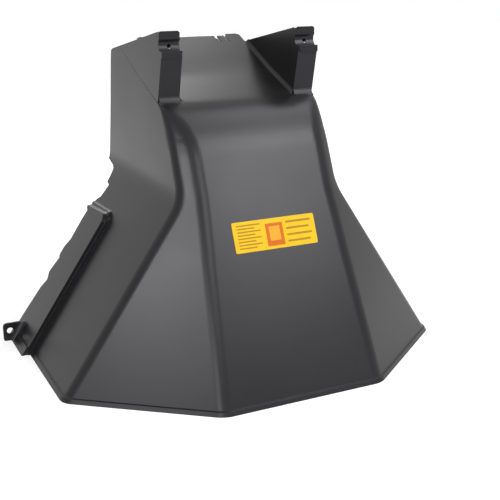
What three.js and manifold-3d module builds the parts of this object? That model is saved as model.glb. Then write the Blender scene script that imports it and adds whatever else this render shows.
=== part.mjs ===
// Mower deck deflector: a one-piece moulded hood with its label, in millimetres.
// X points to the right, Y away from the front panel and Z up; the hood stands on its rim at z = 0.
// Until the last step y = 0 is where each side wall meets its slanted front corner panel.

import * as THREE from 'three';
import { mergeVertices } from 'three/addons/utils/BufferGeometryUtils.js';
import Module from 'manifold-3d';

const wasm = await Module();
wasm.setup();

// Wall
const wall = 3;

// Rim and flared lower half
const rimHalfWidth = 309;
const frontHalfWidth = 125;
const frontDepth = 139;
const kneeHeight = 268;
const kneeHalfWidth = 128;
const lipHeight = 6;
const lipProud = 2.6;

// Upright neck and roof
const neckTopHalfWidth = 124.3;
const frontLean = 24;
const roofCornerHeight = 377;
const roofPitch = 20.5;
const ridgeDepth = 160;
const upperRoofPitch = 23.4;
const roofEndDepth = 262.5;

// Shoulder: the crease of the front panel runs up at this half width and spreads over the roof
const shoulderHalfWidth = 101.5;
const shoulderDepth = 15;
const shoulderFlare = 0.4;

// Softness of the moulded corners, as the length that each corner takes from the flat beside it
const creaseReach = 12;
const roofBendReach = 27;
const kneeReach = 18;

// Lugs that carry the tube across the top; what drops is measured down from their top
const lugInnerHalfWidth = 93;
const lugTopHeight = 494.7;
const lugTopDepth = 73.5;
const lugTopFall = 10.8;
const lugFrontLean = 14.06;
const lowerBlockProud = 10.4;
const lowerBlockDrop = 26.7;
const lowerBlockHeight = 10.4;
const lowerBlockSetBack = 2.6;
const blockSideStep = 0.6;
const blockInnerCorner = 6.5;
const blockOuterCorner = 2.5;
const topCornerCut = 3;
const tubeDiameter = 18;
const tubeClearance = 0.2;
const tubeDrop = 18.4;
const tubeSeatSetBack = 3.1;
const lugHoleDiameter = 5.8;
const lugHoleDrop = 21.1;
const gussetRibCount = 2;
const gussetFillet = 7;
const lugFootFillet = 9;

// Raised band at the back of each side, stepped out of the wall
const bandProud = 10.4;
const bandFirstStep = 4.6;
const bandTread = 2.2;
const bandFrontDepth = 183;
const bandTopHeight = 213;
const bandTopFall = 8.2;
const bandTopDrop = 8.5;
const bandTopCorner = 16;

// Ear at the foot of each band
const earDepth = 250;
const earThickness = 4;
const earHeight = 32;
const earFoot = 2.6;
const earFootCorner = 3;
const earReach = 15.9;
const earCorner = 6;
const earHoleDiameter = 10.4;
const earHoleHeight = 19.3;
const earHoleFromEdge = 10.6;
const earFillet = 11;

// Back edge of each side, from the rim up: depth and height of each corner
const backEdge = [
  [277, 0], [277, 24], [274.6, 46], [269.5, 78.5], [261.6, 92], [263.6, 95.5],
  [271, 102], [269.6, 109], [263.4, 126], [269.5, 130], [268.9, 143], [261.2, 156],
  [262.6, 186], [261.4, 201], [268, 203], [273, 207], [277, 213.5], [267.4, 219.6], [264.5, 228],
  [262, 239], [275.2, 241.7], [277.2, 254], [278.4, 262], [284, 265.7], [312, 272],
  [310.2, 286], [304.5, 329], [299, 371], [292, 436], [290, 449], [287.5, 453], [277.5, 455.8],
];

const sideBackDepth = Math.max(...backEdge.map(([depth]) => depth));

// Back end of the roof: a raised tab on each side, a slot and two slits beside it
const tabStart = 65;
const tabEnd = 84;
const tabRise = 4.7;
const tabSide = 90;
const tabCornerCut = 4.4;
const slotCentre = 45.7;
const slotWidth = 6;
const slotLength = 10.8;
const slitCentres = [47.4, 62.2];
const slitWidth = 3;
const slitLength = 20.5;

// Label on the front panel
const labelWidth = 131;
const labelHeight = 44;
const labelCentreHeight = 217.6;
const labelThickness = 0.45;
const labelCorner = 2.5;
const labelGap = 0.3;

// Cutting bodies reach this far past what they cut, and lugs are trimmed to size by this much
const spare = 20;
const trimRoom = 1;

// Faces that would lie in one plane are set apart by this little, so that they never coincide
const flushGap = 0.05;
const filletSink = 0.12;
const sideGapSink = 0.6;

const radians = THREE.MathUtils.degToRad;
const flare = (rimHalfWidth - kneeHalfWidth) / kneeHeight;
const neckDraft = (kneeHalfWidth - neckTopHalfWidth) / (lugTopHeight - kneeHeight);
const frontSlope = Math.tan(radians(frontLean));
const roofSlope = Math.tan(radians(roofPitch));
const upperRoofSlope = Math.tan(radians(upperRoofPitch));
const lugFallSlope = Math.tan(radians(lugTopFall));
const lowerBlockDepth = lugTopDepth - lowerBlockProud;
const tubeSeatDepth = lugTopDepth + tubeSeatSetBack;
const lugTubeDepth = tubeSeatDepth - tubeDiameter / 2 - tubeClearance;
const lowerBlockTop = lugTopHeight - lowerBlockDrop;
const lugTubeHeight = lugTopHeight - tubeDrop;
const lugHoleHeight = lugTopHeight - lugHoleDrop;

// Height of the straight line through a point, at a distance past that point
const line = (start, slope, distance) => start + slope * distance;

// Straight line that turns to another slope at a corner, softened within a reach of the corner
function softCorner(position, corner, value, slopeBefore, slopeAfter, reach) {
  const past = position - corner;
  const before = line(value, slopeBefore, past);
  if (past <= -reach) return before;
  if (past >= reach) return line(value, slopeAfter, past);
  return before + (slopeAfter - slopeBefore) * (past + reach) ** 2 / (4 * reach);
}

// Half width of the hood between its side walls
const sideHalfWidth = (z) => softCorner(z, kneeHeight, kneeHalfWidth, -flare, -neckDraft, kneeReach);

const frontPanelDepth = (z) => line(-frontDepth, frontSlope, z);
const roofCornerDepth = frontPanelDepth(roofCornerHeight);
const ridgeHeight = line(roofCornerHeight, roofSlope, ridgeDepth - roofCornerDepth);

// Roof height at a depth behind the bend
const roofHeight = (y) => (y < ridgeDepth
  ? line(roofCornerHeight, roofSlope, y - roofCornerDepth)
  : line(ridgeHeight, upperRoofSlope, y - ridgeDepth));

const lugTopAt = (y) => line(lugTopHeight, -lugFallSlope, y - lugTopDepth);

// Corner panel: the plane through the front end of the side wall's rim, the front panel's
// bottom corner and the straight corner that rises from the rim at the flare of the side wall
const cornerAcross = (rimHalfWidth - frontHalfWidth) / frontDepth;
const cornerPanelHalfWidth = (y, z) => rimHalfWidth - flare * z + cornerAcross * y;

// Half width at the crease between the front panel and the corner panel, and over the roof
function creaseHalfWidth(y, z) {
  const shoulder = line(shoulderHalfWidth, shoulderFlare, Math.max(0, y - shoulderDepth));
  const corner = y < shoulderDepth ? cornerPanelHalfWidth(y, z) : shoulder;
  return Math.min(Math.max(corner, shoulder), sideHalfWidth(z));
}

// A chain of straight runs through points, for walking along it
function chainOf(points) {
  const runs = [];
  let start = 0;
  for (let i = 1; i < points.length; i += 1) {
    const step = new THREE.Vector3().subVectors(points[i], points[i - 1]);
    const length = step.length();
    if (length > 1e-6) {
      runs.push({ origin: points[i - 1], heading: step.divideScalar(length), start, end: start + length });
      start += length;
    }
  }
  return runs;
}

const pointOnRun = (run, distance) => run.origin.clone().addScaledVector(run.heading, distance - run.start);

// Mean position over the stretch of a chain within a reach of a distance: this rounds its corners
function softenedPoint(runs, distance, reach) {
  const mean = new THREE.Vector3();
  runs.forEach((run, index) => {
    const from = Math.max(distance - reach, index === 0 ? -Infinity : run.start);
    const to = Math.min(distance + reach, index === runs.length - 1 ? Infinity : run.end);
    if (to > from) mean.addScaledVector(pointOnRun(run, (from + to) / 2), to - from);
  });
  return mean.divideScalar(2 * reach);
}

// Distances that split each stretch between neighbouring marks into equal steps
function spacedDistances(marks, counts) {
  const distances = [marks[0]];
  counts.forEach((count, i) => {
    for (let step = 1; step <= count; step += 1) {
      distances.push(marks[i] + (marks[i + 1] - marks[i]) * step / count);
    }
  });
  return distances;
}

// Depth and height of the hood's middle line, from below the rim up the front panel and over the roof
function middleLine() {
  const wallFoot = lipHeight + 0.8;
  const heights = [-lipHeight, lipHeight, ...spacedDistances([wallFoot, kneeHeight - 2 * kneeReach], [5])];
  const kneeRows = 9;
  for (let row = 1; row <= kneeRows; row += 1) {
    heights.push(kneeHeight + kneeReach * (3 * row / kneeRows - 1.6));
  }
  const bend = new THREE.Vector3(0, roofCornerDepth, roofCornerHeight);
  const runs = chainOf([
    new THREE.Vector3(0, frontPanelDepth(0), 0), bend, new THREE.Vector3(0, ridgeDepth, ridgeHeight),
  ]);
  const corner = runs[0].end;
  const bendMarks = [corner - 1.6 * roofBendReach, corner - roofBendReach, corner + roofBendReach];
  const bendPoints = spacedDistances(bendMarks, [1, 10]).map((s) => softenedPoint(runs, s, roofBendReach));
  const roofStart = roofCornerDepth + 1.6 * roofBendReach;
  const roofDepths = spacedDistances([roofStart, ridgeDepth, roofEndDepth, roofEndDepth + spare], [4, 4, 1]);
  return [
    ...heights.map((z) => new THREE.Vector3(0, frontPanelDepth(z), z)),
    ...bendPoints,
    ...roofDepths.map((y) => new THREE.Vector3(0, y, roofHeight(y))),
  ];
}

// Corner points of one section of the left half: back of the side, outer corner, inner corner, middle
function sectionCorners(middle, backHeight) {
  const { y, z } = middle;
  const halfWidth = sideHalfWidth(z);
  const innerHalfWidth = creaseHalfWidth(y, z);
  return [
    new THREE.Vector3(-sideHalfWidth(backHeight), sideBackDepth + spare, backHeight),
    new THREE.Vector3(-halfWidth, y + (halfWidth - innerHalfWidth) / cornerAcross, z),
    new THREE.Vector3(-innerHalfWidth, y, z),
    middle,
  ];
}

const mirrored = (point) => new THREE.Vector3(-point.x, point.y, point.z);

// Points across the whole hood along one section, from the back of the left side to that of the right
function sectionPoints(middle, backHeight) {
  const left = sectionCorners(middle, backHeight);
  const runs = chainOf([...left, ...left.slice(0, 3).reverse().map(mirrored)]);
  const outer = left[0].distanceTo(left[1]);
  const inner = outer + left[1].distanceTo(left[2]);
  const centre = inner + left[2].distanceTo(left[3]);
  const between = (outer + inner) / 2;
  const marks = [
    0, outer - creaseReach, Math.min(outer + creaseReach, between - 2),
    Math.max(inner - creaseReach, between + 2), inner + creaseReach, centre,
  ];
  const half = spacedDistances(marks, [3, 6, 2, 6, 2]).map((s) => softenedPoint(runs, s, creaseReach));
  return [...half, ...half.slice(0, -1).reverse().map(mirrored)];
}

// Rows of the hood's outer face; past the knee the sections fan out towards the back of the roof
function hoodRows() {
  const middles = middleLine();
  const fanStart = middles.findIndex((point) => point.z > kneeHeight + kneeReach) + 1;
  const fanBottom = middles[fanStart - 1].z;
  return middles.map((middle, row) => {
    const share = Math.max(0, (row - fanStart + 1) / (middles.length - fanStart));
    return sectionPoints(middle, row < fanStart ? middle.z : THREE.MathUtils.lerp(fanBottom, 505, share));
  });
}

// Faces between neighbouring rows of a grid of points, numbered row by row
function gridFaces(rowCount, columnCount, first = 0) {
  const faces = [];
  for (let row = 0; row + 1 < rowCount; row += 1) {
    for (let column = 0; column + 1 < columnCount; column += 1) {
      const a = first + row * columnCount + column;
      faces.push(a, a + 1, a + columnCount + 1, a, a + columnCount + 1, a + columnCount);
    }
  }
  return faces;
}

// Numbers of the points round the edge of a grid
function gridEdge(rowCount, columnCount) {
  const at = (row, column) => row * columnCount + column;
  const edge = [];
  for (let column = 0; column < columnCount - 1; column += 1) edge.push(at(0, column));
  for (let row = 0; row < rowCount - 1; row += 1) edge.push(at(row, columnCount - 1));
  for (let column = columnCount - 1; column > 0; column -= 1) edge.push(at(rowCount - 1, column));
  for (let row = rowCount - 1; row > 0; row -= 1) edge.push(at(row, 0));
  return edge;
}

// Closed solid from points and faces, turned so that its faces point out
function solidFrom(points, faces) {
  let volume = 0;
  for (let i = 0; i < faces.length; i += 3) {
    const [a, b, c] = [points[faces[i]], points[faces[i + 1]], points[faces[i + 2]]];
    volume += a.dot(new THREE.Vector3().crossVectors(b, c));
  }
  const outward = volume > 0 ? faces : faces.map((_, i) => faces[i - (i % 3) + 2 - (i % 3)]);
  const geometry = new THREE.BufferGeometry().setFromPoints(points);
  geometry.setIndex(outward);
  const merged = mergeVertices(geometry, 1e-4);
  return new wasm.Manifold(new wasm.Mesh({
    numProp: 3,
    vertProperties: new Float32Array(merged.attributes.position.array),
    triVerts: new Uint32Array(merged.index.array),
  }));
}

// The hood's skin: an outer face with the rim lip, and an inner face one wall further in
function hoodShell() {
  const rows = hoodRows();
  const columnCount = rows[0].length;
  const base = rows.flat();
  const surface = new THREE.BufferGeometry().setFromPoints(base);
  surface.setIndex(gridFaces(rows.length, columnCount));
  surface.computeVertexNormals();
  const normals = base.map((_, i) => new THREE.Vector3().fromBufferAttribute(surface.attributes.normal, i));
  const outwards = Math.sign(-normals[Math.floor(columnCount / 2)].y);
  normals.forEach((normal) => normal.multiplyScalar(outwards));

  const lipRows = 2;
  const outer = base.map((point, i) => {
    const level = new THREE.Vector3(normals[i].x, normals[i].y, 0).normalize();
    return point.clone().addScaledVector(level, i < lipRows * columnCount ? lipProud : 0);
  });
  const inner = base.map((point, i) => point.clone().addScaledVector(normals[i], -wall));

  const count = base.length;
  const faces = [
    ...gridFaces(rows.length, columnCount),
    ...gridFaces(rows.length, columnCount, count).reverse(),
  ];
  const edge = gridEdge(rows.length, columnCount);
  edge.forEach((a, i) => {
    const b = edge[(i + 1) % edge.length];
    faces.push(b, a, a + count, b, a + count, b + count);
  });
  return solidFrom([...outer, ...inner], faces);
}

// Closed body through outlines of equal length, each at its own place along a third direction
function loft(outlines, places, placement) {
  const size = outlines[0].length;
  const points = outlines.flatMap((outline, ring) => outline.map(([a, b]) => placement(a, b, places[ring])));
  const flat = (outline) => outline.map(([a, b]) => new THREE.Vector2(a, b));
  const cap = (outline) => THREE.ShapeUtils.triangulateShape(flat(outline), []).flat();
  const faces = [];
  for (let ring = 0; ring + 1 < outlines.length; ring += 1) {
    for (let i = 0; i < size; i += 1) {
      const [a, b] = [ring * size + i, ring * size + (i + 1) % size];
      faces.push(a, b, b + size, a, b + size, a + size);
    }
  }
  const clockwise = THREE.ShapeUtils.isClockWise(flat(outlines[0]));
  const last = (outlines.length - 1) * size;
  const [start, end] = [cap(outlines[0]), cap(outlines[outlines.length - 1]).map((i) => i + last)];
  faces.push(...(clockwise ? start : start.reverse()), ...(clockwise ? end.reverse() : end));
  return solidFrom(points, faces);
}

const prism = (outline, from, to, placement) => loft([outline, outline], [from, to], placement);

// How an outline and its third direction lie in space
const fromSide = (y, z, x) => new THREE.Vector3(x, y, z);
const fromFront = (x, z, y) => new THREE.Vector3(x, y, z);
const fromAbove = (x, y, z) => new THREE.Vector3(x, y, z);

// Along the slope of the left side wall, back along it, and out from its face
function onSideWall(along, y, out) {
  const slope = Math.hypot(1, flare);
  return new THREE.Vector3(-rimHalfWidth + (along * flare - out) / slope, y, (along + out * flare) / slope);
}
const alongSideWall = (z) => z * Math.hypot(1, flare);

const arc = (a, b, radius, from, to, steps = 4) => Array.from({ length: steps + 1 }, (_, i) => {
  const angle = radians(THREE.MathUtils.lerp(from, to, i / steps));
  return [a + radius * Math.cos(angle), b + radius * Math.sin(angle)];
});
const circle = (a, b, radius, steps = 24) => arc(a, b, radius, 0, 360, steps).slice(0, -1);

const joined = (solids) => solids.reduce((all, solid) => all.add(solid));
const bothSides = (solid) => solid.add(solid.mirror([1, 0, 0]));

// Outline of the raised band on the wall's face, moved in from its front and top by an inset;
// further out from the wall its top lies lower, at the back more than at the front
function bandOutline(out, inset) {
  const front = bandFrontDepth + inset;
  const share = out / bandProud;
  const top = alongSideWall(bandTopHeight) - bandTopFall * share - inset;
  const corner = arc(top - bandTopCorner, front + bandTopCorner, bandTopCorner, -90, 0, 5);
  const back = sideBackDepth + spare;
  return [[-spare, front], ...corner, [top - bandTopDrop * share, back], [-spare, back]];
}

const bandSteps = [
  { height: bandFirstStep, setBack: 0 },
  { height: bandProud, setBack: bandTread },
];

// Band of the left side: two steps out of the wall, with the lip along its foot
function band() {
  const steps = bandSteps.map(({ height, setBack }) => loft(
    [bandOutline(-wall / 2, setBack), bandOutline(height, setBack)],
    [-wall / 2, height],
    onSideWall,
  ));
  const front = bandFrontDepth + bandTread;
  const lipTop = alongSideWall(lipHeight);
  const back = sideBackDepth + spare;
  const lipOutline = [[-spare, front], [lipTop, front], [lipTop, back], [-spare, back]];
  return joined([...steps, prism(lipOutline, bandProud - wall / 2, bandProud + lipProud, onSideWall)]);
}

// Room behind the band of the left side, which leaves one wall all round
function bandRoom() {
  return joined(bandSteps.map(({ height, setBack }) => loft(
    [bandOutline(-wall - spare, setBack + wall), bandOutline(height - wall, setBack + wall)],
    [-wall - spare, height - wall],
    onSideWall,
  )));
}

const bandFaceHalfWidth = (z) => rimHalfWidth + bandProud * Math.hypot(1, flare) - flare * z;
const earHalfWidth = bandFaceHalfWidth(0) + earReach;

// Ear of the left side, with the round fillet that joins it to the band
function ear() {
  const corner = arc(-earHalfWidth + earCorner, earHeight - earCorner, earCorner, 180, 90);
  const plate = prism([
    [-bandFaceHalfWidth(0) + wall / 2, earFoot],
    ...arc(-earHalfWidth + earFootCorner, earFoot + earFootCorner, earFootCorner, 270, 180),
    ...corner,
    [-bandFaceHalfWidth(earHeight) + wall / 2, earHeight],
  ], earDepth, earDepth + earThickness, fromFront);
  const filletOutline = (z) => {
    const face = -bandFaceHalfWidth(z);
    const hollow = arc(face - earFillet, earDepth - earFillet, earFillet, 0, 90);
    const [inside, behind] = [face + wall / 2, earDepth + earThickness / 4];
    return [...hollow, [face - earFillet, behind], [inside, behind], [inside, earDepth - earFillet]];
  };
  const heights = [earFoot, earHeight];
  return plate.add(loft(heights.map(filletOutline), heights, fromAbove));
}

const leftLugCentre = -(lugInnerHalfWidth + neckTopHalfWidth) / 2;
const tubeSeatRadius = tubeDiameter / 2 + tubeClearance;
const lowerBlockBottom = lowerBlockTop - lowerBlockHeight;
const lugFaceDepth = lowerBlockDepth + lowerBlockSetBack;
const lugFrontSlope = Math.tan(radians(lugFrontLean));
const heightAboveRoofStart = lowerBlockBottom - line(roofCornerHeight, -roofSlope, roofCornerDepth);
const lugFootDepth = (lugFaceDepth + lugFrontSlope * heightAboveRoofStart) / (1 + lugFrontSlope * roofSlope);
const lugBack = (lugTopAt(0) - ridgeHeight + upperRoofSlope * ridgeDepth) / (upperRoofSlope + lugFallSlope);
const gussetBack = lugBack + trimRoom;
const sideGapStart = lugBack - 1.5 * trimRoom;
const lugFrontBack = tubeSeatDepth + 4 / 3 * wall;
const roofSkin = (y) => [y, roofHeight(y) - wall / 2];

// Side of the lug and the gusset behind it, seen from the side
function gussetOutline() {
  return [
    [lugTopDepth, lugTopHeight + trimRoom],
    [lugTopDepth, lowerBlockTop],
    [lugFaceDepth, lowerBlockTop],
    [lugFaceDepth, lowerBlockBottom],
    roofSkin(lugFootDepth), roofSkin(ridgeDepth), roofSkin(gussetBack),
    [gussetBack, lugTopAt(gussetBack) + trimRoom],
  ];
}

// Front wall of the lug, which leans back to its foot
function lugFrontOutline() {
  return [
    ...gussetOutline().slice(0, 4),
    roofSkin(lugFootDepth),
    roofSkin(lugFootDepth + wall),
    [lugFaceDepth + wall, lowerBlockBottom - wall],
    [lugFrontBack, lowerBlockTop - wall],
    [lugFrontBack, lugTopHeight + trimRoom],
  ];
}

// Left lug: two plates, a front wall with its two blocks, and ribs across, open at the top
function lug() {
  const outerPlateEdge = neckTopHalfWidth - wall;
  const outside = kneeHalfWidth + spare;
  const plates = [
    prism(gussetOutline(), -lugInnerHalfWidth - wall, -lugInnerHalfWidth, fromSide),
    prism(gussetOutline(), -outside, -outerPlateEdge, fromSide),
    prism(lugFrontOutline(), -outside, -lugInnerHalfWidth, fromSide),
  ];
  const ribs = Array.from({ length: gussetRibCount }, (_, i) => {
    const depth = THREE.MathUtils.lerp(lugFootDepth, lugBack, (i + 1) / (gussetRibCount + 1));
    const outline = [
      roofSkin(depth), roofSkin(depth + wall), [depth + wall, lugTopAt(depth + wall) - wall],
      [depth, lugTopAt(depth) - wall],
    ];
    return prism(outline, -outside + 1, -lugInnerHalfWidth - wall / 2, fromSide);
  });
  return joined([...plates, ...ribs]);
}

// Lower block in front of the left lug, with round lower corners, the inner one rounder
function lowerBlock() {
  const [left, right] = [-neckTopHalfWidth - blockSideStep, -lugInnerHalfWidth - blockSideStep];
  const bottom = lowerBlockBottom;
  const outline = [
    [left, lowerBlockTop],
    ...arc(left + blockOuterCorner, bottom + blockOuterCorner, blockOuterCorner, 180, 270),
    ...arc(right - blockInnerCorner, bottom + blockInnerCorner, blockInnerCorner, 270, 360),
    [right, lowerBlockTop],
  ];
  return prism(outline, lowerBlockDepth, lugTopDepth, fromFront);
}

// Round fillet along the inside of the left lug's gusset
function gussetSideFillet() {
  const radius = gussetFillet;
  const inside = -lugInnerHalfWidth;
  const hollow = arc(inside + radius, radius, radius, 180, 270);
  const depths = spacedDistances([lugFootDepth - trimRoom, lugBack - radius], [8]);
  const outlines = depths.map((y) => [
    ...hollow.map(([x, z]) => [x, z + roofHeight(y) - filletSink]),
    [inside + radius, roofHeight(y) - wall / 2],
    [inside - wall / 2, roofHeight(y) - wall / 2],
    [inside - wall / 2, roofHeight(y) - filletSink + radius],
  ]);
  return loft(outlines, depths, fromFront);
}

// Round fillet in front of the left lug's foot
function lugFootRound() {
  const radius = lugFootFillet;
  const outline = [
    ...arc(-radius, radius, radius, 270, 360).map(([y, z]) => [
      lugFootDepth - lugFrontSlope * z + y,
      roofHeight(lugFootDepth + y) - filletSink + z,
    ]),
    [lugFootDepth - lugFrontSlope * radius + wall / 2, roofHeight(lugFootDepth) + radius],
    roofSkin(lugFootDepth + wall / 2),
    roofSkin(lugFootDepth - radius),
  ];
  return prism(outline, -neckTopHalfWidth, -lugInnerHalfWidth, fromSide);
}

// Cuts in front of the left lug: the seat of the tube, the screw hole and the slanted top corners
function lugCuts() {
  const reach = kneeHalfWidth + spare;
  const seat = prism(circle(lugTubeDepth, lugTubeHeight, tubeSeatRadius, 32), -reach, 0, fromSide);
  const hole = prism(
    circle(leftLugCentre, lugHoleHeight, lugHoleDiameter / 2),
    lowerBlockDepth - 1,
    lugFootDepth + spare,
    fromFront,
  );
  const topCorner = (x, side) => prism([
    [x + side, lugTopHeight - topCornerCut], [x + side, lugTopHeight + spare],
    [x - side * topCornerCut, lugTopHeight + spare], [x - side * topCornerCut, lugTopHeight],
  ], lugTopDepth - trimRoom, lugFrontBack, fromFront);
  return joined([seat, hole, topCorner(-neckTopHalfWidth, -1), topCorner(-lugInnerHalfWidth, 1)]);
}

// Everything above the tops of the lugs and behind the back edges and the end of the roof
function trimmings() {
  const far = 2 * rimHalfWidth;
  const [front, back] = [lugTopDepth - spare, sideBackDepth + 2 * spare];
  const aboveLugs = prism(
    [[front, lugTopAt(front)], [back, lugTopAt(back)], [back, far], [front, far]],
    -far,
    -lugInnerHalfWidth,
    fromSide,
  );
  const behindSides = prism(
    [[backEdge[0][0], -spare], ...backEdge, [backEdge.at(-1)[0], far], [far, far], [far, -spare]],
    -far,
    far,
    fromSide,
  );
  const tabDepth = roofEndDepth + tabRise;
  const behindRoofOutline = (z) => [
    [0, roofEndDepth], [tabStart - 1, roofEndDepth], [tabStart + 1, tabDepth], [tabEnd, tabDepth],
    [tabSide, tabDepth - tabCornerCut], [tabSide, sideGapStart],
    [sideHalfWidth(z) - wall + sideGapSink, sideGapStart], [sideHalfWidth(z) - wall + sideGapSink, far],
    [0, far],
  ];
  const heights = [ridgeHeight, far];
  const behindRoof = loft(heights.map(behindRoofOutline), heights, fromAbove);
  const below = prism([[-far, -far], [far, -far], [far, far], [-far, far]], -spare, 0, fromAbove);
  return joined([bothSides(aboveLugs), behindSides, bothSides(behindRoof), below]);
}

// Slot and slits in the end of the roof, on the right half
function roofSlots() {
  const cut = (centre, width, length) => prism([
    [centre - width / 2, roofEndDepth + 2 * spare],
    ...arc(centre, roofEndDepth - length + width / 2, width / 2, 180, 360),
    [centre + width / 2, roofEndDepth + 2 * spare],
  ], ridgeHeight, lugTopHeight, fromAbove);
  return joined([
    cut(slotCentre, slotWidth, slotLength),
    ...slitCentres.map((centre) => cut(centre, slitWidth, slitLength)),
  ]);
}

// The whole hood as one moulded piece
function hood() {
  const upright = [1, 0, -neckDraft];
  const neckFace = -kneeHalfWidth - neckDraft * kneeHeight + flushGap;
  const lugBody = joined([lug(), lowerBlock(), gussetSideFillet(), lugFootRound()])
    .trimByPlane(upright, neckFace / Math.hypot(...upright))
    .subtract(lugCuts());
  const earHole = prism(
    circle(-earHalfWidth + earHoleFromEdge, earHoleHeight, earHoleDiameter / 2),
    earDepth - earFillet,
    earDepth + 2 * earThickness,
    fromFront,
  );
  return hoodShell()
    .add(bothSides(band()))
    .subtract(bothSides(bandRoom()))
    .add(bothSides(lugBody))
    .subtract(trimmings())
    .subtract(bothSides(roofSlots()))
    .add(bothSides(ear()))
    .subtract(bothSides(earHole));
}

// Turns a solid into geometry with flat faces
function geometryOf(solid) {
  const mesh = solid.getMesh();
  const geometry = new THREE.BufferGeometry();
  geometry.setAttribute('position', new THREE.BufferAttribute(new Float32Array(mesh.vertProperties), 3));
  geometry.setIndex(new THREE.BufferAttribute(new Uint32Array(mesh.triVerts), 1));
  geometry.computeVertexNormals();
  return geometry;
}

function hoodMesh() {
  const plastic = new THREE.MeshStandardMaterial({ color: 0x2b2b2d, roughness: 0.5, metalness: 0 });
  const mesh = new THREE.Mesh(geometryOf(hood()), plastic);
  mesh.name = 'deflector_hood';
  return mesh;
}

// Label: a thin plate with round corners that lies on the front panel
function labelMesh() {
  const [x, y] = [labelWidth / 2, labelHeight / 2];
  const shape = new THREE.Shape();
  shape.absarc(x - labelCorner, y - labelCorner, labelCorner, 0, Math.PI / 2);
  shape.absarc(-x + labelCorner, y - labelCorner, labelCorner, Math.PI / 2, Math.PI);
  shape.absarc(-x + labelCorner, -y + labelCorner, labelCorner, Math.PI, 1.5 * Math.PI);
  shape.absarc(x - labelCorner, -y + labelCorner, labelCorner, 1.5 * Math.PI, 2 * Math.PI);
  const geometry = new THREE.ExtrudeGeometry(shape, {
    depth: labelThickness, bevelEnabled: false, curveSegments: 4,
  });
  const film = new THREE.MeshStandardMaterial({ color: 0xf0c929, roughness: 0.45, metalness: 0 });
  const mesh = new THREE.Mesh(geometry, film);
  mesh.name = 'label_sticker';
  const lean = radians(frontLean);
  mesh.rotation.x = Math.PI / 2 - lean;
  mesh.position.set(
    0,
    frontPanelDepth(labelCentreHeight) - labelGap * Math.cos(lean),
    labelCentreHeight + labelGap * Math.sin(lean),
  );
  return mesh;
}

const deflector = new THREE.Group();
deflector.add(hoodMesh(), labelMesh());

// The origin goes to the middle of the hood's footprint, on the surface that it stands on
const bounds = new THREE.Box3().setFromObject(deflector);
deflector.position.y = -(bounds.min.y + bounds.max.y) / 2;

export default deflector;
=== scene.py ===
import math

import bmesh
import bpy
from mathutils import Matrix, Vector


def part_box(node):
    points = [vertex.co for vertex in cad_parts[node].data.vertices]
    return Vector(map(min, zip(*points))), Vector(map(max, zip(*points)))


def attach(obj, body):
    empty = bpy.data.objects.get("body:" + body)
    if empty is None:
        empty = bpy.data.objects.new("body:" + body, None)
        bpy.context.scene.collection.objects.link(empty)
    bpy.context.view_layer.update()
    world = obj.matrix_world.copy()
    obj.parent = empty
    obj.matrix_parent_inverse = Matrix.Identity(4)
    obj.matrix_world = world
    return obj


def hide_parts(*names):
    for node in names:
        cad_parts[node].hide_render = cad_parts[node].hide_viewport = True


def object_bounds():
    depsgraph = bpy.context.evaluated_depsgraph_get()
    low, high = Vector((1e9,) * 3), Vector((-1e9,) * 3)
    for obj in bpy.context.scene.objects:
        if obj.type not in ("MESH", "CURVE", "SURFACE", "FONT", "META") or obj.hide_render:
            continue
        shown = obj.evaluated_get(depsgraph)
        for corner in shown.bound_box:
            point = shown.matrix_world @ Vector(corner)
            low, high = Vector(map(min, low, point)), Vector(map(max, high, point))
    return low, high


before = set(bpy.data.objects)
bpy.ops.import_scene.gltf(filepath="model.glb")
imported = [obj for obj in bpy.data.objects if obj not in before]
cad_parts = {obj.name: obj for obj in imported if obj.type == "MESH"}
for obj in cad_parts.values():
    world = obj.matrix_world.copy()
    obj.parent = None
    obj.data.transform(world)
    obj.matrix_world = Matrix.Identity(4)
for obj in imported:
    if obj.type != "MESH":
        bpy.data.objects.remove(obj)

cad_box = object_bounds()

# Camera, found from the photograph: its place and its view in metres, and its lens on a 36 mm sensor
CAMERA_PLACE = Vector((-0.5914, -1.2498, 0.5893))
CAMERA_HEADING = Vector((0.4208, 0.8566, -0.2987))
CAMERA_LENS = 66.76
CAMERA_SENSOR = 36.0

# Bend of the roof into the front panel. The solid rounds its corner over a reach to each side; the
# photograph shows a wider bend, so the hood seen in the picture is eased to the wider reach
BEND_CORNER = Vector((0.0, -0.0564, 0.377))
FRONT_LEAN = math.radians(24)
ROOF_PITCH = math.radians(20.5)
SOLID_BEND_REACH = 0.027
SEEN_BEND_REACH = 0.055

# Points this near the skin of the bend move in full, and from there to the fade's end less and less
BEND_SKIN = 0.012
BEND_FADE = 0.060

# Rows of points added over the bend; their stretch ends later by what the corner panels are set back
BEND_ROWS = 25
CORNER_SHIFT = 0.014

# Corner panels beside the bend: they start at the shoulders' half width, which grows behind a depth,
# and run back by one part of depth for so many parts of width
SHOULDER_HALF_WIDTH = 0.1015
SHOULDER_Y = -0.0702
SHOULDER_FLARE = 0.4
CORNER_ACROSS = 1.324

# Joining and shading of the facets: points this near are one, and edges under this angle are round
WELD_REACH = 0.00001
HOOD_WELD_REACH = 0.00008
SMOOTH_ANGLE = math.radians(28)

# Plastic of the hood: a fine grain, and a soft unevenness of its tone and gloss
PLASTIC_COLOUR = (0.0090, 0.0090, 0.0097, 1.0)
PLASTIC_SHADES = (0.9, 1.1)
PLASTIC_TINT = (0.96, 0.95, 1.0, 1.0)
PLASTIC_GLOSS = 0.24
PLASTIC_ROUGHNESS = (0.285, 0.325)
MOTTLE_SIZE = 0.09
MOTTLE_DETAIL = 4.0
GRAIN_SIZE = 0.0006
GRAIN_DETAIL = 2.0
GRAIN_HEIGHT = 0.00002
GRAIN_STRENGTH = 0.35
EDGE_RADIUS = 0.0007
EDGE_SAMPLES = 4

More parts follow.
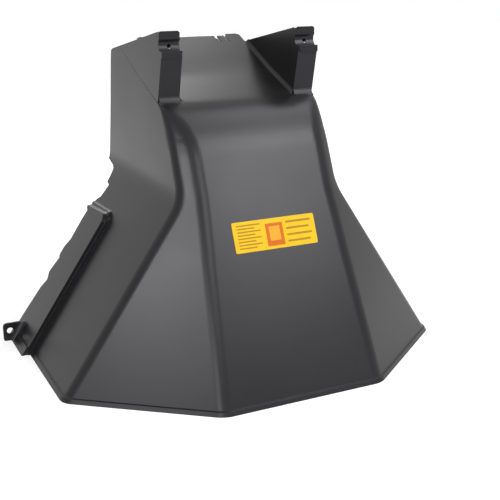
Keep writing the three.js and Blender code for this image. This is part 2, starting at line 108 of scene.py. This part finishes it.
# Film of the label and its inks
LABEL_YELLOW = (0.66, 0.41, 0.006, 1.0)
LABEL_OCHRE = (0.33, 0.18, 0.004, 1.0)
LABEL_ORANGE = (0.51, 0.11, 0.004, 1.0)
LABEL_AMBER = (0.67, 0.30, 0.016, 1.0)
LABEL_GLOSS = 0.15
LABEL_ROUGHNESS = (0.40, 0.50)
LABEL_SHADES = (0.94, 1.06)
LABEL_MOTTLE_SIZE = 0.012
LABEL_MOTTLE_DETAIL = 3.0

# Generic print of the label, as shares of its width and height: two columns of rows, and between
# them a patch with a field in it. A patch or field is its left, right, bottom and top
PRINT_THICKNESS = 0.00006
FINE_ROWS = dict(count=8, left=0.05, right=0.33, indent=0.07, highest=0.87, pitch=0.105, half_height=0.022)
WIDE_ROWS = dict(count=4, left=0.64, right=0.95, indent=0.03, highest=0.82, pitch=0.21, half_height=0.034)
PATCH = (0.39, 0.60, 0.10, 0.84)
FIELD = (0.43, 0.56, 0.27, 0.74)

# Most values of a noise texture lie in this stretch of its range
NOISE_REACH = (0.3, 0.7)

# Studio: soft square lamps on a dome round the hood. Each lamp's name, its direction round from the
# front towards the right and its height over the floor's level, both in degrees, and its power in watts
LAMPS = [
    ("low_left_front_lamp", -30, 14, 10.0),
    ("high_front_lamp", -5, 32, 11.0),
    ("right_front_lamp", 28, 25, 9.0),
    ("high_right_front_lamp", 31, 34, 13.0),
    ("top_right_front_lamp", 36, 43, 15.0),
    ("upper_right_front_lamp", 45, 52, 9.5),
    ("overhead_front_lamp", 68, 62, 6.4),
    ("overhead_lamp", 100, 64, 6.6),
    ("right_back_lamp", 160, 28, 34.0),
    ("left_lamp", -55, 24, 25.0),
    ("low_left_lamp", -55, 10, 4.0),
]
LAMP_CENTRE = Vector((0.0, 0.0, 0.25))
LAMP_DISTANCE = 2.6
LAMP_SIZE = 0.66
LAMP_CLEARANCE = 0.02

# World and floor: both are white in the picture and in reflections, and give the hood a plain light.
# The floor's own glow grows from the hood's surroundings outwards, so that the hood's shadow stays
WHITE = (1.0, 1.0, 1.0, 1.0)
WHITE_STRENGTH = 1.0
WORLD_STRENGTH = 0.15
FLOOR_SIZE = 12.0
FLOOR_COLOUR = (0.50, 0.50, 0.50, 1.0)
FLOOR_GLOW = (0.62, 1.0)
FLOOR_GLOW_REACH = (0.45, 0.95)


def node_in(tree, kind, **settings):
    """A new node of a kind, with its settings and the values of its sockets."""
    node = tree.nodes.new(kind)
    for name, value in settings.items():
        if name in node.inputs:
            node.inputs[name].default_value = value
        else:
            setattr(node, name, value)
    return node


def new_material(name):
    """A material with an empty node tree, and its output node."""
    material = bpy.data.materials.new(name)
    material.use_nodes = True
    material.node_tree.nodes.clear()
    return material, node_in(material.node_tree, "ShaderNodeOutputMaterial")


def noise(tree, size, detail):
    """Noise in the object's own space, with grains of about a size in metres."""
    place = node_in(tree, "ShaderNodeTexCoord")
    texture = node_in(tree, "ShaderNodeTexNoise", Scale=1.0 / size, Detail=detail)
    tree.links.new(place.outputs["Object"], texture.inputs["Vector"])
    return texture.outputs["Fac"]


def ranged(tree, value, source, target, **settings):
    """A value carried over from one range to another."""
    spread = node_in(tree, "ShaderNodeMapRange", **settings)
    spread.inputs["From Min"].default_value = source[0]
    spread.inputs["From Max"].default_value = source[1]
    spread.inputs["To Min"].default_value = target[0]
    spread.inputs["To Max"].default_value = target[1]
    tree.links.new(value, spread.inputs["Value"])
    return spread.outputs["Result"]


def shaded(tree, value, colour, shades):
    """A colour that a noise value makes a little darker and lighter."""
    tint = node_in(tree, "ShaderNodeVectorMath", operation="SCALE")
    tint.inputs[0].default_value = colour[:3]
    tree.links.new(ranged(tree, value, NOISE_REACH, shades), tint.inputs["Scale"])
    return tint.outputs["Vector"]


def plastic_material():
    """Satin black moulded plastic: a fine grain, softly uneven gloss and slightly rounded edges."""
    material, output = new_material("moulded_plastic")
    tree = material.node_tree
    shader = node_in(tree, "ShaderNodeBsdfPrincipled")
    shader.inputs["Specular Tint"].default_value = PLASTIC_TINT
    shader.inputs["Specular IOR Level"].default_value = PLASTIC_GLOSS
    mottle = noise(tree, MOTTLE_SIZE, MOTTLE_DETAIL)
    colour = shaded(tree, mottle, PLASTIC_COLOUR, PLASTIC_SHADES)
    roughness = ranged(tree, mottle, NOISE_REACH, PLASTIC_ROUGHNESS)
    edges = node_in(tree, "ShaderNodeBevel", samples=EDGE_SAMPLES, Radius=EDGE_RADIUS)
    grain = node_in(tree, "ShaderNodeBump", Strength=GRAIN_STRENGTH, Distance=GRAIN_HEIGHT)
    tree.links.new(colour, shader.inputs["Base Color"])
    tree.links.new(roughness, shader.inputs["Roughness"])
    tree.links.new(noise(tree, GRAIN_SIZE, GRAIN_DETAIL), grain.inputs["Height"])
    tree.links.new(edges.outputs["Normal"], grain.inputs["Normal"])
    tree.links.new(grain.outputs["Normal"], shader.inputs["Normal"])
    tree.links.new(shader.outputs["BSDF"], output.inputs["Surface"])
    return material


def film_material(name, colour):
    """Printed label film in one ink, a little uneven in tone and gloss."""
    material, output = new_material(name)
    tree = material.node_tree
    shader = node_in(tree, "ShaderNodeBsdfPrincipled")
    shader.inputs["Specular IOR Level"].default_value = LABEL_GLOSS
    mottle = noise(tree, LABEL_MOTTLE_SIZE, LABEL_MOTTLE_DETAIL)
    roughness = ranged(tree, mottle, NOISE_REACH, LABEL_ROUGHNESS)
    tree.links.new(shaded(tree, mottle, colour, LABEL_SHADES), shader.inputs["Base Color"])
    tree.links.new(roughness, shader.inputs["Roughness"])
    tree.links.new(shader.outputs["BSDF"], output.inputs["Surface"])
    return material


def smooth_by_angle():
    """Modifier tree that joins the facets' shared points and shades shallow edges smooth."""
    tree = bpy.data.node_groups.new("smooth_by_angle", "GeometryNodeTree")
    tree.interface.new_socket("Geometry", in_out="INPUT", socket_type="NodeSocketGeometry")
    tree.interface.new_socket("Geometry", in_out="OUTPUT", socket_type="NodeSocketGeometry")
    weld = node_in(tree, "GeometryNodeMergeByDistance", Distance=WELD_REACH)
    faces = node_in(tree, "GeometryNodeSetShadeSmooth", domain="FACE")
    edges = node_in(tree, "GeometryNodeSetShadeSmooth", domain="EDGE")
    angle = node_in(tree, "GeometryNodeInputMeshEdgeAngle")
    shallow = node_in(tree, "FunctionNodeCompare", data_type="FLOAT", operation="LESS_EQUAL")
    shallow.inputs["B"].default_value = SMOOTH_ANGLE
    start = node_in(tree, "NodeGroupInput")
    end = node_in(tree, "NodeGroupOutput")
    tree.links.new(start.outputs["Geometry"], weld.inputs["Geometry"])
    tree.links.new(weld.outputs["Geometry"], faces.inputs["Geometry"])
    tree.links.new(faces.outputs["Geometry"], edges.inputs["Geometry"])
    tree.links.new(angle.outputs["Unsigned Angle"], shallow.inputs["A"])
    tree.links.new(shallow.outputs["Result"], edges.inputs["Shade Smooth"])
    tree.links.new(edges.outputs["Geometry"], end.inputs["Geometry"])
    return tree


def bend_depth(distance, reach):
    """How far the bend's line lies inwards of its corner, as a share of the inward direction.

    Past its reach the line is one of the two flat skins; within it, the curve that a stretch of the
    same reach to each side averages those skins to.
    """
    if abs(distance) >= reach:
        return abs(distance) / 2
    return (distance * distance / reach + reach) / 4


def corner_setback(point):
    """How far the corner panel's skin lies behind the front panel's at a point's width."""
    past_shoulder = abs(point.x) - SHOULDER_HALF_WIDTH
    setback = past_shoulder / CORNER_ACROSS
    behind = point.y - SHOULDER_Y
    if behind > setback:
        setback = (past_shoulder - SHOULDER_FLARE * behind) / (CORNER_ACROSS - SHOULDER_FLARE)
    return max(setback, 0.0)


def bend_place(point):
    """Distance of a point along the bend from its corner, and its depth under the solid's skin.

    After them come the direction onward, over the bend, and the direction inward, into the hood.
    """
    along_front = Vector((0.0, math.sin(FRONT_LEAN), math.cos(FRONT_LEAN)))
    along_roof = Vector((0.0, math.cos(ROOF_PITCH), math.sin(ROOF_PITCH)))
    onward = along_front + along_roof
    inward = along_roof - along_front
    offset = point - BEND_CORNER - Vector((0.0, corner_setback(point), 0.0))
    distance = 2 * offset.dot(onward) / onward.length_squared
    share = offset.dot(inward) / inward.length_squared
    depth = (share - bend_depth(distance, SOLID_BEND_REACH)) * inward.length
    return distance, depth, onward, inward


def eased(point):
    """Where a point of the hood lies once the bend is eased to the wider reach."""
    distance, depth, _, inward = bend_place(point)
    fade = (BEND_FADE - abs(depth)) / (BEND_FADE - BEND_SKIN)
    fade = min(max(fade, 0.0), 1.0)
    weight = fade * fade * (3 - 2 * fade)
    shift = bend_depth(distance, SEEN_BEND_REACH) - bend_depth(distance, SOLID_BEND_REACH)
    return point + inward * max(shift, 0.0) * weight


def near_bend(face):
    """Whether a face lies partly over the bend's stretch and near its skin."""
    places = [bend_place(vertex.co) for vertex in face.verts]
    distances = [place[0] for place in places]
    depths = [place[1] for place in places]
    over = min(distances) < SEEN_BEND_REACH and max(distances) > -SEEN_BEND_REACH
    return over and min(depths) < BEND_FADE and max(depths) > -BEND_FADE


def add_row(shape, distance, onward):
    """Cuts the faces near the bend along a line across it, at a distance from its corner."""
    faces = [face for face in shape.faces if near_bend(face)]
    edges = {edge for face in faces for edge in face.edges}
    vertices = {vertex for face in faces for vertex in face.verts}
    bmesh.ops.bisect_plane(
        shape, geom=list(vertices) + list(edges) + faces, dist=WELD_REACH,
        plane_co=BEND_CORNER + onward * distance / 2, plane_no=onward,
    )


def eased_hood():
    """The hood's solid with rows of points added over the bend and moved to the wider rounding."""
    shape = bmesh.new()
    shape.from_mesh(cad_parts["deflector_hood"].data)
    bmesh.ops.remove_doubles(shape, verts=shape.verts[:], dist=HOOD_WELD_REACH)
    _, _, onward, _ = bend_place(BEND_CORNER)
    for row in range(BEND_ROWS + 1):
        distance = (2 * SEEN_BEND_REACH + CORNER_SHIFT) * row / BEND_ROWS - SEEN_BEND_REACH
        add_row(shape, distance, onward)
    bmesh.ops.triangulate(shape, faces=shape.faces[:])
    for vertex in shape.verts:
        vertex.co = eased(vertex.co)
    mesh = bpy.data.meshes.new("hood_shell")
    shape.to_mesh(mesh)
    shape.free()
    return mesh


def dress_hood():
    """The hood with its eased bend: facets shaded smooth, flats kept flat, and the plastic on it."""
    hood = bpy.data.objects.new("hood_shell", eased_hood())
    bpy.context.scene.collection.objects.link(hood)
    modifier = hood.modifiers.new("smooth_by_angle", "NODES")
    modifier.node_group = smooth_by_angle()
    weighted = hood.modifiers.new("flat_faces_stay_flat", "WEIGHTED_NORMAL")
    weighted.keep_sharp = True
    hood.data.materials.append(plastic_material())
    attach(hood, "root")
    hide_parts("deflector_hood")


def label_frame():
    """Middle of the label's face, the directions across it, up it and out of it, and its size."""
    low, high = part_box("label_sticker")
    across = Vector((1.0, 0.0, 0.0))
    up = Vector((0.0, math.sin(FRONT_LEAN), math.cos(FRONT_LEAN)))
    out = Vector((0.0, -math.cos(FRONT_LEAN), math.sin(FRONT_LEAN)))
    middle = (low + high) / 2
    vertices = [vertex.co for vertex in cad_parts["label_sticker"].data.vertices]
    face = max((vertex - middle).dot(out) for vertex in vertices)
    height = 2 * max((vertex - middle).dot(up) for vertex in vertices)
    return middle + out * face, across, up, out, high.x - low.x, height


def print_bars(name, bars, material):
    """Thin printed bars on the label; each is (left, right, bottom, top) as shares of its size."""
    middle, across, up, out, width, height = label_frame()
    points = []
    faces = []
    for left, right, bottom, top in bars:
        first = len(points)
        for lift in (0.0, PRINT_THICKNESS):
            for x, z in ((left, bottom), (right, bottom), (right, top), (left, top)):
                points.append(middle + across * (x - 0.5) * width + up * (z - 0.5) * height + out * lift)
        faces.append([first + i for i in (3, 2, 1, 0)])
        faces.append([first + i for i in (4, 5, 6, 7)])
        for i in range(4):
            j = (i + 1) % 4
            faces.append([first + i, first + j, first + 4 + j, first + 4 + i])
    mesh = bpy.data.meshes.new(name)
    mesh.from_pydata(points, [], faces)
    piece = bpy.data.objects.new(name, mesh)
    bpy.context.scene.collection.objects.link(piece)
    mesh.materials.append(material)
    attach(piece, "root")


def column(count, left, right, indent, highest, pitch, half_height):
    """A column of bars from the highest down, each second one shorter by the indent."""
    bars = []
    for row in range(count):
        end = right - indent * (row % 2)
        middle = highest - pitch * row
        bars.append((left, end, middle - half_height, middle + half_height))
    return bars


def border():
    """Bars of the patch round the field: below it, above it, and at its left and right."""
    left, right, bottom, top = PATCH
    field_left, field_right, field_bottom, field_top = FIELD
    return [
        (left, right, bottom, field_bottom),
        (left, right, field_top, top),
        (left, field_left, field_bottom, field_top),
        (field_right, right, field_bottom, field_top),
    ]


def dress_label():
    """The label is yellow film with a generic print: two columns of bars and a plain orange patch."""
    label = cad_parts["label_sticker"]
    label.data.materials.clear()
    label.data.materials.append(film_material("label_film", LABEL_YELLOW))
    rows = column(**FINE_ROWS) + column(**WIDE_ROWS)
    print_bars("label_bars", rows, film_material("label_ochre", LABEL_OCHRE))
    print_bars("label_patch", border(), film_material("label_orange", LABEL_ORANGE))
    print_bars("label_field", [FIELD], film_material("label_amber", LABEL_AMBER))


def seen_directly(tree):
    """1 for rays from the camera and for those mirrored or let through, 0 for light on matte surfaces."""
    path = node_in(tree, "ShaderNodeLightPath")
    mirrored = node_in(tree, "ShaderNodeMath", operation="ADD", use_clamp=True)
    total = node_in(tree, "ShaderNodeMath", operation="ADD", use_clamp=True)
    tree.links.new(path.outputs["Is Glossy Ray"], mirrored.inputs[0])
    tree.links.new(path.outputs["Is Transmission Ray"], mirrored.inputs[1])
    tree.links.new(path.outputs["Is Camera Ray"], total.inputs[0])
    tree.links.new(mirrored.outputs["Value"], total.inputs[1])
    return total.outputs["Value"]


def floor_material():
    """Pale matte floor, with a glow added where it is seen directly or in a reflection."""
    material, output = new_material("pale_floor")
    tree = material.node_tree
    place = node_in(tree, "ShaderNodeTexCoord")
    distance = node_in(tree, "ShaderNodeVectorMath", operation="LENGTH")
    tree.links.new(place.outputs["Object"], distance.inputs[0])
    level = ranged(
        tree, distance.outputs["Value"], FLOOR_GLOW_REACH, FLOOR_GLOW, interpolation_type="SMOOTHSTEP",
    )
    matte = node_in(tree, "ShaderNodeBsdfDiffuse", Color=FLOOR_COLOUR)
    glow = node_in(tree, "ShaderNodeEmission")
    both = node_in(tree, "ShaderNodeAddShader")
    choice = node_in(tree, "ShaderNodeMixShader")
    tree.links.new(level, glow.inputs["Strength"])
    tree.links.new(glow.outputs["Emission"], both.inputs[0])
    tree.links.new(matte.outputs["BSDF"], both.inputs[1])
    tree.links.new(seen_directly(tree), choice.inputs["Fac"])
    tree.links.new(matte.outputs["BSDF"], choice.inputs[1])
    tree.links.new(both.outputs["Shader"], choice.inputs[2])
    tree.links.new(choice.outputs["Shader"], output.inputs["Surface"])
    return material


def floor():
    """Plain pale floor under the hood, which is white in the picture and keeps the hood's shadow."""
    bpy.ops.mesh.primitive_plane_add(size=FLOOR_SIZE, location=(0.0, 0.0, cad_box[0].z))
    plane = bpy.context.object
    plane.name = "floor"
    plane.data.materials.append(floor_material())


def surroundings():
    """White world in the picture and in reflections, and a plain level of light from it."""
    world = bpy.data.worlds.new("studio")
    world.use_nodes = True
    bpy.context.scene.world = world
    tree = world.node_tree
    background = tree.nodes["Background"]
    background.inputs["Color"].default_value = WHITE
    level = ranged(tree, seen_directly(tree), (0.0, 1.0), (WORLD_STRENGTH, WHITE_STRENGTH))
    tree.links.new(level, background.inputs["Strength"])


def lamps():
    """Soft square lamps on a dome round the hood, each facing the hood's middle."""
    for name, turn, height, power in LAMPS:
        round_angle, up_angle = math.radians(turn), math.radians(height)
        level = math.cos(up_angle)
        way = Vector((math.sin(round_angle) * level, -math.cos(round_angle) * level, math.sin(up_angle)))
        place = LAMP_CENTRE + way * LAMP_DISTANCE
        place.z = max(place.z, LAMP_SIZE / 2 + LAMP_CLEARANCE)
        data = bpy.data.lights.new(name, "AREA")
        data.shape = "SQUARE"
        data.size = LAMP_SIZE
        data.energy = power
        lamp = bpy.data.objects.new(name, data)
        lamp.location = place
        lamp.rotation_euler = (LAMP_CENTRE - place).to_track_quat("-Z", "Y").to_euler()
        bpy.context.scene.collection.objects.link(lamp)


def camera():
    """Camera at the photograph's place, level from side to side."""
    data = bpy.data.cameras.new("camera")
    data.lens = CAMERA_LENS
    data.sensor_width = CAMERA_SENSOR
    eye = bpy.data.objects.new("camera", data)
    eye.location = CAMERA_PLACE
    eye.rotation_euler = CAMERA_HEADING.to_track_quat("-Z", "Y").to_euler()
    bpy.context.scene.collection.objects.link(eye)
    bpy.context.scene.camera = eye


dress_hood()
dress_label()
floor()
surroundings()
lamps()
camera()
bpy.context.scene.view_settings.view_transform = "Standard"
